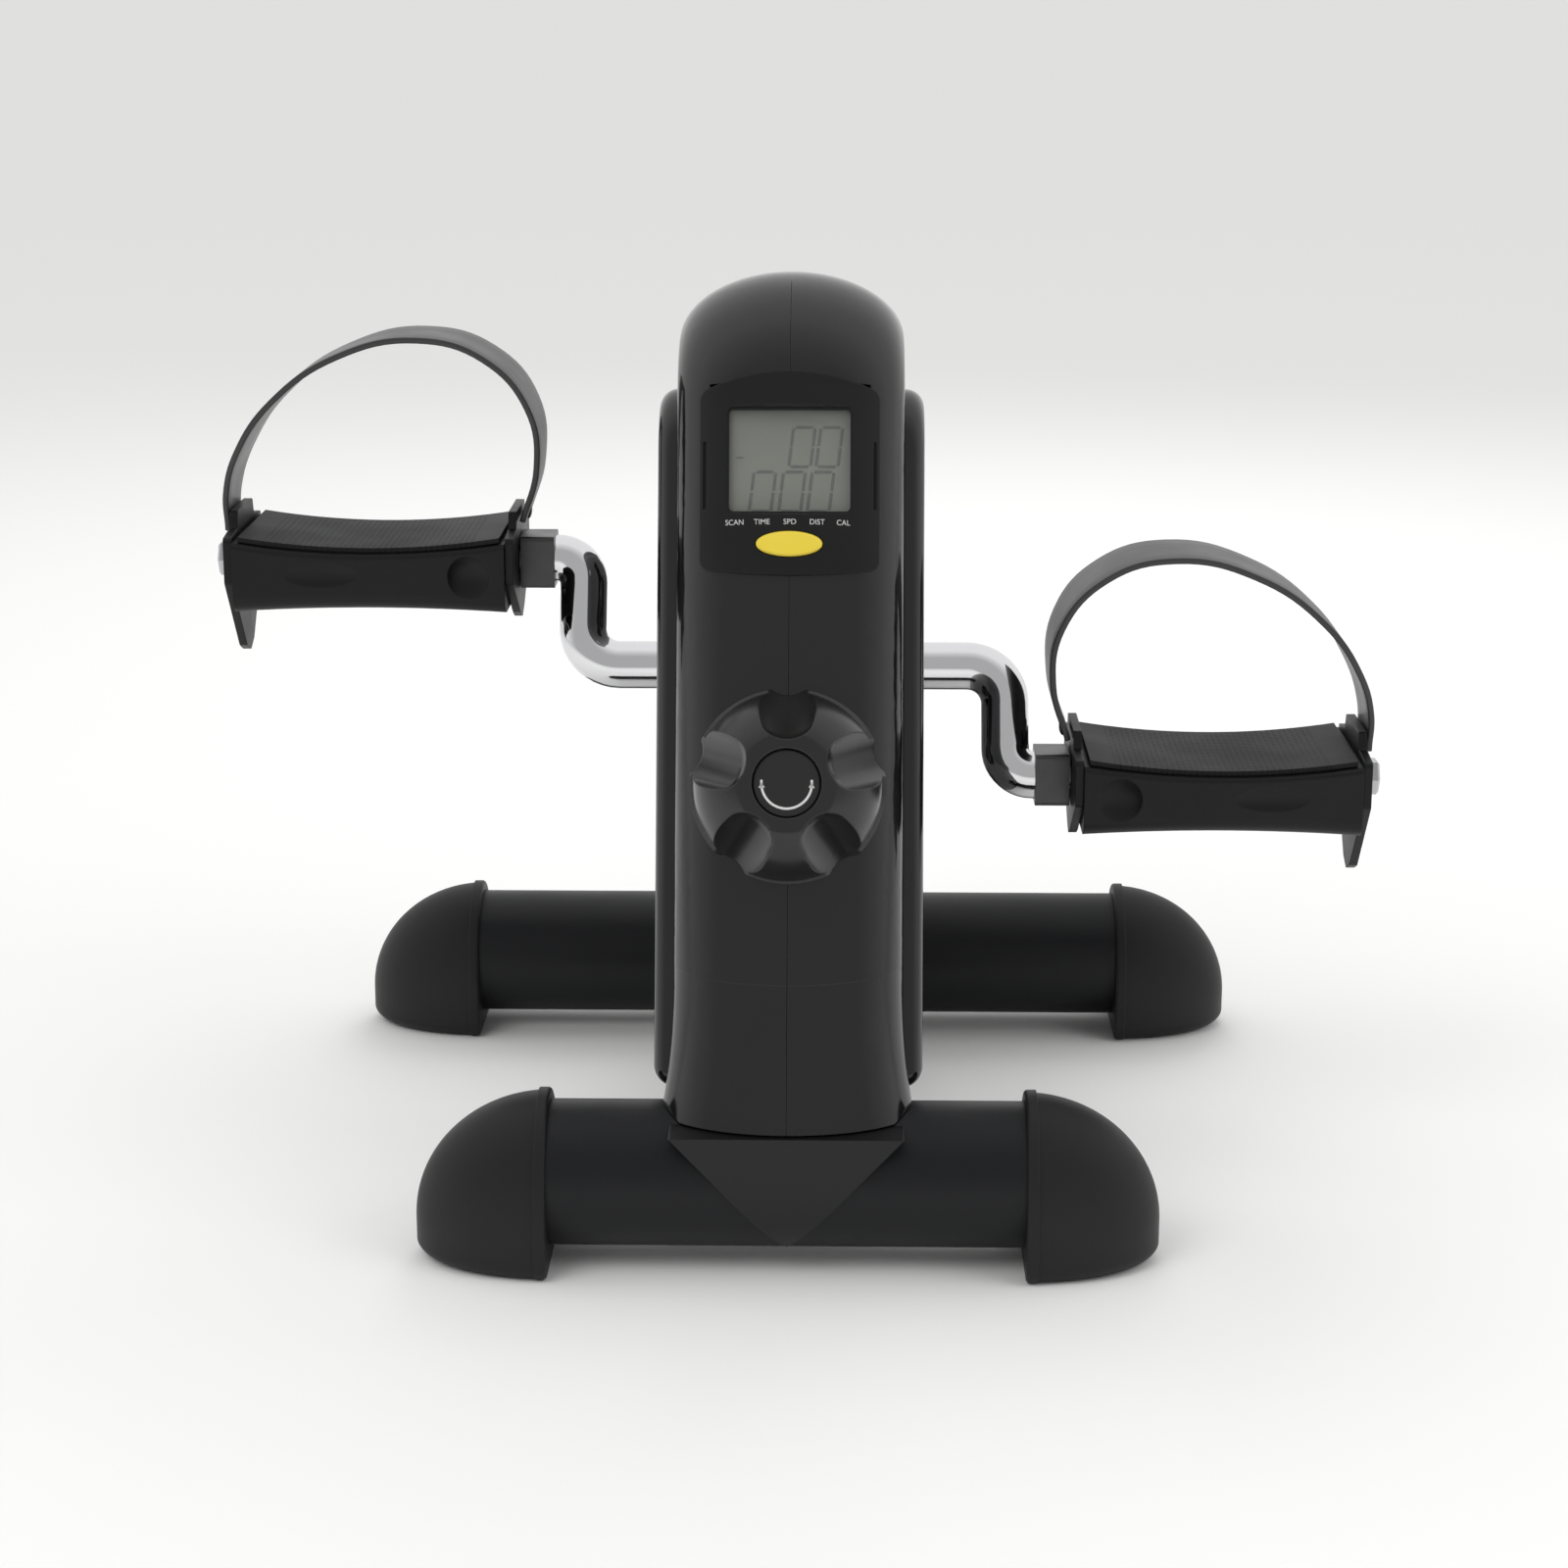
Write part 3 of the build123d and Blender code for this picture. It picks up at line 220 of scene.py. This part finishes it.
# %% Plastics and paints
finishes = {
    # Mirror-like black: the room shows in it, slightly wavy.
    "gloss_housing": finish("high-gloss moulded ABS", ("#121213", "#161617"), "#2A2A2B", (0.07, 0.12),
                            grain_mm=9, relief_mm=0.012, IOR=1.53),
    # An etched mould's fine grain gives a wide, dull highlight.
    "matt_feet": finish("etched moulded polypropylene", ("#151516", "#19191A"), "#3A3A3B", (0.46, 0.56),
                        grain_mm=0.9, relief_mm=0.02, edge_mm=0.7, IOR=1.49, Specular_IOR_Level=0.35),
    # Baked powder: dark, cool, with a fine pebbled skin.
    "powder_coat": finish("matt powder coat on steel", ("#0E0F12", "#121316"), "#2C2D31", (0.4, 0.5),
                          grain_mm=1.2, relief_mm=0.015, IOR=1.5, Specular_IOR_Level=0.3),
    # Satin mould face, between gloss and matt.
    "matt_saddle": finish("satin moulded ABS", ("#0F0F10", "#131314"), "#333334", (0.34, 0.42),
                          grain_mm=1.0, relief_mm=0.012, IOR=1.53, Specular_IOR_Level=0.35),
    # Semi-gloss, so the knob's scoops show as soft gradients.
    "knob_plastic": finish("semi-gloss moulded ABS", ("#161617", "#1B1B1C"), "#3C3C3D", (0.22, 0.3),
                           grain_mm=1.4, relief_mm=0.008, edge_mm=0.9, IOR=1.53),
    "bezel_plastic": finish("fine satin ABS", ("#101011", "#141415"), "#2E2E2F", (0.2, 0.28),
                            grain_mm=1.2, relief_mm=0.006, edge_mm=0.5, IOR=1.53,
                            Specular_IOR_Level=0.3),
    # Nylon with a leathery mould texture that hides scuffs.
    "pedal_plastic": finish("textured moulded nylon", ("#0B0B0C", "#101011"), "#303031", (0.38, 0.5),
                            grain_mm=1.1, relief_mm=0.05, edge_mm=0.8, IOR=1.53, Specular_IOR_Level=0.25),
    "inner_plastic": finish("plain moulded ABS", ("#1E1E1E", "#242424"), "#3A3A3A", (0.4, 0.5),
                            grain_mm=1.5, relief_mm=0.01, IOR=1.53),
    "pulley_plastic": finish("glass-filled nylon", ("#1F1F20", "#29292A"), "#454546", (0.45, 0.55),
                             grain_mm=0.8, relief_mm=0.02, IOR=1.53),
    # Opaque yellow silicone skin, smooth and slightly soft-looking.
    "button_yellow": finish("yellow silicone-topped key", ("#E6CB3C", "#EDD64E"), "#F2E07A", (0.4, 0.48),
                            grain_mm=1.0, relief_mm=0.006, edge_mm=0.8, IOR=1.42),
    "board_green": finish("solder mask on glass laminate", ("#12502A", "#1A5E33"), "#6B7F5A", (0.3, 0.4),
                          grain_mm=1.5, relief_mm=0.02, IOR=1.5),
    "battery_can": finish("printed steel can", ("#4A4436", "#565040"), "#8A8470", (0.25, 0.35),
                          grain_mm=2, relief_mm=0.005, IOR=1.5),
    "frame_paint": finish("black electrocoat", ("#19191A", "#202021"), "#3A3A3B", (0.3, 0.42),
                          grain_mm=2, relief_mm=0.01, IOR=1.5),
    "belt_rubber": finish("ribbed belt rubber", ("#161616", "#1B1B1B"), "#2C2C2C", (0.6, 0.7),
                          grain_mm=0.8, relief_mm=0.02, IOR=1.52),
    "cable_black": finish("extruded PVC jacket", ("#151515", "#1A1A1A"), "#303030", (0.35, 0.45),
                          grain_mm=0.8, relief_mm=0.01, IOR=1.53),
    # Calendered PVC band: even satin sheen, paler than the hard parts.
    "strap_pvc": finish("calendered satin PVC", ("#2A2A2B", "#303031"), "#4A4A4B", (0.36, 0.44),
                        grain_mm=1.3, relief_mm=0.012, patch_mm=20, edge_mm=0.5, IOR=1.53),
}

# %% [markdown]
# Metals mirror the room in their own colour. Chrome is the brightest here and almost
# perfectly smooth. Zinc plate and ground steel are softer, and cast iron is dull and pitted.

# %% Metals
finishes.update({
    "crank_chrome": finish("polished chrome plate", ("#DCDCDE", "#E6E6E8"), "#F2F2F2", (0.03, 0.07),
                           grain_mm=12, relief_mm=0.006, Metallic=1.0),
    "zinc_steel": finish("bright zinc plate", ("#B4B5B8", "#C6C7CA"), "#DCDCDE", (0.22, 0.34),
                         grain_mm=0.8, relief_mm=0.01, patch_mm=6, Metallic=1.0),
    "bearing_steel": finish("ground bearing steel", ("#A4A4A7", "#B6B6B9"), "#D0D0D2", (0.18, 0.26),
                            grain_mm=0.6, relief_mm=0.006, patch_mm=8, Metallic=1.0),
    "cast_wheel": finish("turned cast iron", ("#5A5A5C", "#6C6C6E"), "#98989A", (0.4, 0.55),
                         grain_mm=1.0, relief_mm=0.04, patch_mm=12, Metallic=1.0),
    "ferrite": finish("sintered ferrite", ("#2B2B2D", "#363638"), "#5A5A5C", (0.5, 0.62),
                      grain_mm=0.7, relief_mm=0.02, patch_mm=8, IOR=2.0),
    # Black oxide is a thin dark skin, so the collar stays dark with a steely edge.
    "black_collar": finish("black oxide steel", ("#0E0E0F", "#141415"), "#4A4A4C", (0.28, 0.38),
                           grain_mm=0.9, relief_mm=0.01, patch_mm=10, IOR=1.7),
})

# %% [markdown]
# The tread is rubber moulded with rows of small pads, so a shoe grips it. Both of its ends
# are left plain. The pads are drawn in relief from two waves, one along and one across. A
# real pad is about 1.5 mm, and is drawn at 2.1 mm so that it still shows at this distance.

# %% Tread rubber with its grid of pads
tread = finish("anti-slip moulded rubber", ("#101011", "#151516"), "#363637", (0.52, 0.62),
               grain_mm=0.9, relief_mm=0.015, IOR=1.52, Specular_IOR_Level=0.25)
pad_pitch = 2.1 * MM
tread_low, tread_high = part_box("right_pedal_tread")
plain_end = 9 * MM
tread_tree = tread.node_tree
tread_place = add_node(tread_tree, "ShaderNodeTexCoord").outputs["Object"]
tread_axes = add_node(tread_tree, "ShaderNodeSeparateXYZ", {0: tread_place})
waves = []
for axis in ("X", "Y"):
    phase = add_node(tread_tree, "ShaderNodeMath", {0: tread_axes.outputs[axis], 1: tau / pad_pitch},
                     operation="MULTIPLY")
    wave = add_node(tread_tree, "ShaderNodeMath", {0: phase.outputs[0]}, operation="SINE")
    waves.append(add_node(tread_tree, "ShaderNodeMapRange", {"Value": wave.outputs[0], "From Min": -0.5,
                                                             "From Max": 0.2}).outputs["Result"])
pads = add_node(tread_tree, "ShaderNodeMath", {0: waves[0], 1: waves[1]}, operation="MULTIPLY")
sideways = add_node(tread_tree, "ShaderNodeMath", {0: tread_axes.outputs["X"]}, operation="ABSOLUTE")
off_middle = add_node(tread_tree, "ShaderNodeMath", {0: sideways.outputs[0], 1: (tread_low.x + tread_high.x) / 2},
                      operation="SUBTRACT")
from_middle = add_node(tread_tree, "ShaderNodeMath", {0: off_middle.outputs[0]}, operation="ABSOLUTE")
in_grid = add_node(tread_tree, "ShaderNodeMath",
                   {0: from_middle.outputs[0], 1: (tread_high.x - tread_low.x) / 2 - plain_end},
                   operation="LESS_THAN")
grid = add_node(tread_tree, "ShaderNodeMath", {0: pads.outputs[0], 1: in_grid.outputs[0]}, operation="MULTIPLY")
tread_shader = tread_tree.nodes["Principled BSDF"]
under = tread_shader.inputs["Normal"].links[0].from_socket
pad_relief = add_node(tread_tree, "ShaderNodeBump", {"Height": grid.outputs[0], "Distance": 0.5 * MM,
                                                     "Normal": under})
tread_tree.links.new(pad_relief.outputs["Normal"], tread_shader.inputs["Normal"])
finishes["tread_rubber"] = tread
print("tread pads every", round(pad_pitch / MM, 2), "mm")

# %% [markdown]
# The display is a grey-green reflective panel behind clear acrylic. Its colour is painted
# a little darker towards its top: painted shade for the shade cast there by the window's frame.

# %% Window and display panel
window = finish("clear acrylic window", ("#E8ECE6", "#EEF1EC"), "#FFFFFF", (0.03, 0.06),
                grain_mm=14, relief_mm=0.002, IOR=1.49, Alpha=0.08)
finishes["window_clear"] = window

panel = finish("reflective LCD", ("#5C5E54", "#62645A"), "#84867A", (0.3, 0.4),
               grain_mm=1.0, relief_mm=0.002, IOR=1.5)
panel_tree = panel.node_tree
panel_place = add_node(panel_tree, "ShaderNodeTexCoord").outputs["Object"]
panel_height = add_node(panel_tree, "ShaderNodeSeparateXYZ", {0: panel_place})
panel_low, panel_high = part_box("lcd_panel")
# Painted shade: the panel's colour is mixed darker towards its top for the window frame's shade.
shaded = add_node(panel_tree, "ShaderNodeMapRange", {"Value": panel_height.outputs["Z"], "From Min": panel_low.z,
                                                     "From Max": panel_high.z, "To Min": 0, "To Max": 0.5})
panel_shader = panel_tree.nodes["Principled BSDF"]
even = panel_shader.inputs["Base Color"].links[0].from_socket
panel_with_painted_top_shade = add_node(panel_tree, "ShaderNodeMix", {0: shaded.outputs["Result"], 6: even, 7: linear("#3C3D36")},
                 data_type="RGBA")
panel_tree.links.new(panel_with_painted_top_shade.outputs[2], panel_shader.inputs["Base Color"])
finishes["lcd_glass"] = panel

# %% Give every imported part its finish
for part in frame["record"]["subparts"]:
    mesh = frame["nodes"][part["node"]].data
    for index in range(len(mesh.materials)):
        mesh.materials[index] = finishes[part["material_slot"]]

# %% [markdown]
# New pieces are built flat or straight in a bmesh, moved to their place, and handed over as
# objects at the origin that ride on the body they belong to.

# %% Helper that hands over a finished piece


def hand_over(name, bm, material, body):
    """A mesh object from a finished bmesh, riding on its body."""
    bmesh.ops.remove_doubles(bm, verts=bm.verts, dist=1e-7)
    bmesh.ops.recalc_face_normals(bm, faces=bm.faces)
    mesh = bpy.data.meshes.new(name)
    bm.to_mesh(mesh)
    bm.free()
    mesh.materials.append(material)
    piece = bpy.data.objects.new(name, mesh)
    bpy.context.collection.objects.link(piece)
    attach(piece, body)
    print(name, "has", len(mesh.polygons), "faces")
    return piece


def thicken(bm, depth):
    """Gives flat faces a depth along z."""
    raised = bmesh.ops.extrude_face_region(bm, geom=list(bm.faces))["geom"]
    bmesh.ops.translate(bm, vec=(0, 0, depth), verts=[v for v in raised if isinstance(v, bmesh.types.BMVert)])


# %% [markdown]
# A pedal strap is a flat PVC band that stands in an arch by its own stiffness. It is wide
# over the foot and narrow where it is fixed. Its middle line is a smooth curve through the
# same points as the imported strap, and a row of edges is drawn along it, widening as it goes.

# %% Pedal straps
strap_route = ((99.9, 15.5), (94, 36), (96.5, 58), (112, 76), (136, 83), (165, 77), (190, 60), (203, 42),
               (208.4, 26), (208.6, 12))
strap_ends, strap_middle = 23 * MM, 38 * MM
strap_thick = 2.2 * MM
taper_share = 0.28          # share of the band's length over which each end widens
across_band = (-1, -0.5, 0, 0.5, 1)


def smooth_line(points):
    """Points along a smooth curve through the given ones."""
    curve = bpy.data.curves.new("strap line", "CURVE")
    curve.dimensions = "3D"
    curve.resolution_u = 8
    spline = curve.splines.new("BEZIER")
    spline.bezier_points.add(len(points) - 1)
    for knot, point in zip(spline.bezier_points, points):
        knot.co = point
        knot.handle_left_type = knot.handle_right_type = "AUTO"
    carrier = bpy.data.objects.new("strap line", curve)
    bpy.context.collection.objects.link(carrier)
    line = bpy.data.meshes.new_from_object(carrier)
    stations = [vertex.co.copy() for vertex in line.vertices]
    bpy.data.objects.remove(carrier)
    return stations


for side, name in ((-1, "left"), (1, "right")):
    axle = Vector(joints[f"{name}_pedal_spin"]["pos_m"])
    stations = smooth_line([(side * x * MM, axle.y, axle.z + z * MM) for x, z in strap_route])
    last = len(stations) - 1
    widths = []
    for index in range(last + 1):
        inward = min(1, min(index, last - index) / (taper_share * last))
        widths.append(strap_ends + (strap_middle - strap_ends) * inward * inward * (3 - 2 * inward))
    bm = bmesh.new()
    row = [bm.verts.new(stations[0] + Vector((0, share * widths[0] / 2, 0))) for share in across_band]
    edges = [bm.edges.new(pair) for pair in zip(row, row[1:])]
    for index in range(1, last + 1):
        grown = bmesh.ops.extrude_edge_only(bm, edges=edges)["geom"]
        row = {v for v in grown if isinstance(v, bmesh.types.BMVert)}
        edges = [e for e in grown if isinstance(e, bmesh.types.BMEdge) and set(e.verts) <= row]
        bmesh.ops.translate(bm, vec=stations[index] - stations[index - 1], verts=list(row))
        bmesh.ops.scale(bm, vec=(1, widths[index] / widths[index - 1], 1), verts=list(row),
                        space=Matrix.Translation(-stations[index]))
    strap = hand_over(f"{name}_strap_band", bm, finishes["strap_pvc"], f"{name}_pedal")
    solid = strap.modifiers.new("band thickness", "SOLIDIFY")
    solid.thickness = strap_thick
    solid.offset = 0
    rounding = strap.modifiers.new("rolled edges", "BEVEL")
    rounding.width = 0.5 * MM
    rounding.segments = 3
    for polygon in strap.data.polygons:
        polygon.use_smooth = True
    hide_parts(f"{name}_pedal_strap")

# %% [markdown]
# Each strap is held by a round-headed stud at both ends, pressed through the band into the
# end plate. A stud's head is half a sphere, flattened.

# %% Strap studs
stud_r, stud_high = 3.6 * MM, 1.6 * MM
inner_stud, outer_stud = (98.8, 18.5), (209.7, 17.0)
for side, name in ((-1, "left"), (1, "right")):
    axle = Vector(joints[f"{name}_pedal_spin"]["pos_m"])
    for end, (x, z), outward in (("inner", inner_stud, -1), ("outer", outer_stud, 1)):
        bm = bmesh.new()
        bmesh.ops.create_uvsphere(bm, u_segments=24, v_segments=12, radius=stud_r)
        bmesh.ops.bisect_plane(bm, geom=list(bm.verts) + list(bm.edges) + list(bm.faces), plane_co=(0, 0, 0),
                               plane_no=(0, 0, 1), clear_inner=True)
        bmesh.ops.holes_fill(bm, edges=bm.edges)
        bmesh.ops.scale(bm, vec=(1, 1, stud_high / stud_r), verts=bm.verts)
        bmesh.ops.transform(bm, verts=bm.verts, matrix=Matrix.Translation(
            (side * x * MM, axle.y, axle.z + z * MM)) @ Matrix.Rotation(side * outward * pi / 2, 4, "Y"))
        stud = hand_over(f"{name}_{end}_strap_stud", bm, finishes["pedal_plastic"], f"{name}_pedal")
        for polygon in stud.data.polygons:
            polygon.use_smooth = True

# %% [markdown]
# The display's digits are thin dark films just above the panel. Every 0 is six bars of a
# seven-bar figure, and the whole figure slants to the right.

# %% Digits on the display
digit_wide, digit_high, bar = 7.4 * MM, 13.4 * MM, 1.15 * MM
slant = 0.12
bar_gap = 1.3 * bar         # what a level bar gives up to the two upright ones
ink_gap, ink_thick = 0.01 * MM, 0.02 * MM
digit_places = ((3.5, 5.0), (12.8, 5.0), (-8.0, -10.2), (2.0, -10.2), (11.7, -10.2))
bars = []
for x, y in digit_places:
    for end in (-1, 1):
        bars.append((x * MM, y * MM + end * digit_high / 2, digit_wide - bar_gap, bar))
        for half in (-1, 1):
            bars.append((x * MM + end * digit_wide / 2, y * MM + half * digit_high / 4, bar,
                         digit_high / 2 - 0.5 * bar))
bars.append((-17 * MM, 1.3 * MM, 2.6 * MM, 0.7 * MM))
bm = bmesh.new()
for x, y, wide, high in bars:
    made = bmesh.ops.create_grid(bm, x_segments=1, y_segments=1, size=0.5)["verts"]
    bmesh.ops.scale(bm, vec=(wide, high, 1), verts=made)
    bmesh.ops.translate(bm, vec=(x, y, 0), verts=made)
thicken(bm, ink_thick)
lean_over = Matrix(((1, slant, 0, 0), (0, 1, 0, 0), (0, 0, 1, 0), (0, 0, 0, 1)))
bmesh.ops.transform(bm, verts=bm.verts, matrix=face_matrix(0, screen_middle, screen_face + ink_gap) @ lean_over)
digit_ink = finish("liquid crystal segments", ("#0E0F0C", "#121310"), "#0E0F0C", (0.4, 0.5),
                   grain_mm=2, relief_mm=0.001, IOR=1.5)
hand_over("display_digits", bm, digit_ink, "frame")

# %% [markdown]
# The bezel carries small printed words for what the display shows. They are common words,
# set round the bezel's curve, each turned to lie flat on it.

# %% Printed words on the bezel
bezel_curve = 58 * MM
bezel_crest = reach("computer_bezel", out_of_face)[1]
word_up = screen_middle - 21.4 * MM
word_size, word_depth = 2.6 * MM, 0.06 * MM
white_ink = finish("white pad-printing ink", ("#D8D8D6", "#E2E2E0"), "#E2E2E0", (0.5, 0.6),
                   grain_mm=1, relief_mm=0.002, IOR=1.5)
for word, across in (("SCAN", -18.5), ("TIME", -9.2), ("SPD", 0.2), ("DIST", 9.4), ("CAL", 18.2)):
    lettering = bpy.data.curves.new(word, "FONT")
    lettering.body = word
    lettering.size = word_size
    lettering.extrude = word_depth
    lettering.align_x = "CENTER"
    lettering.align_y = "CENTER"
    carrier = bpy.data.objects.new(word, lettering)
    bpy.context.collection.objects.link(carrier)
    bm = bmesh.new()
    bm.from_mesh(bpy.data.meshes.new_from_object(carrier))
    bpy.data.objects.remove(carrier)
    x = across * MM
    drop = bezel_curve - sqrt(bezel_curve * bezel_curve - x * x)
    bmesh.ops.transform(bm, verts=bm.verts, matrix=face_matrix(x, word_up, bezel_crest - drop, asin(x / bezel_curve)))
    hand_over(f"print_{word.lower()}", bm, white_ink, "frame")

# %% [markdown]
# A white arc with an arrowhead at each end is printed on the knob's cap. It shows that the
# knob turns both ways. The arc is one short edge spun round the knob's axis.

# %% Arc printed on the knob
arc_r, arc_wide = 8.3 * MM, 0.8 * MM
arc_from, arc_to = radians(172), radians(368)
head_r, head_lead = 1.2 * MM, radians(14)
arc_thick, arc_gap = 0.04 * MM, 0.005 * MM
cap_face = reach("knob_cap", out_of_face)[1]
bm = bmesh.new()
ends = [bm.verts.new((r * cos(arc_from), r * sin(arc_from), 0)) for r in (arc_r - arc_wide / 2, arc_r + arc_wide / 2)]
start_edge = bm.edges.new(ends)
bmesh.ops.spin(bm, geom=[*ends, start_edge], cent=(0, 0, 0), axis=(0, 0, 1), angle=arc_to - arc_from, steps=48,
               use_merge=False)
for angle, way in ((arc_from, 1), (arc_to, -1)):
    head = bmesh.ops.create_circle(bm, cap_ends=True, segments=3, radius=head_r)["verts"]
    at = angle + way * head_lead
    bmesh.ops.transform(bm, verts=head, matrix=Matrix.Translation((arc_r * cos(at), arc_r * sin(at), 0))
                        @ Matrix.Rotation(at + (pi if way > 0 else 0), 4, "Z"))
thicken(bm, arc_thick)
bmesh.ops.transform(bm, verts=bm.verts, matrix=face_matrix(0, 0, cap_face + arc_gap))
hand_over("knob_turning_arc", bm, white_ink, "knob")
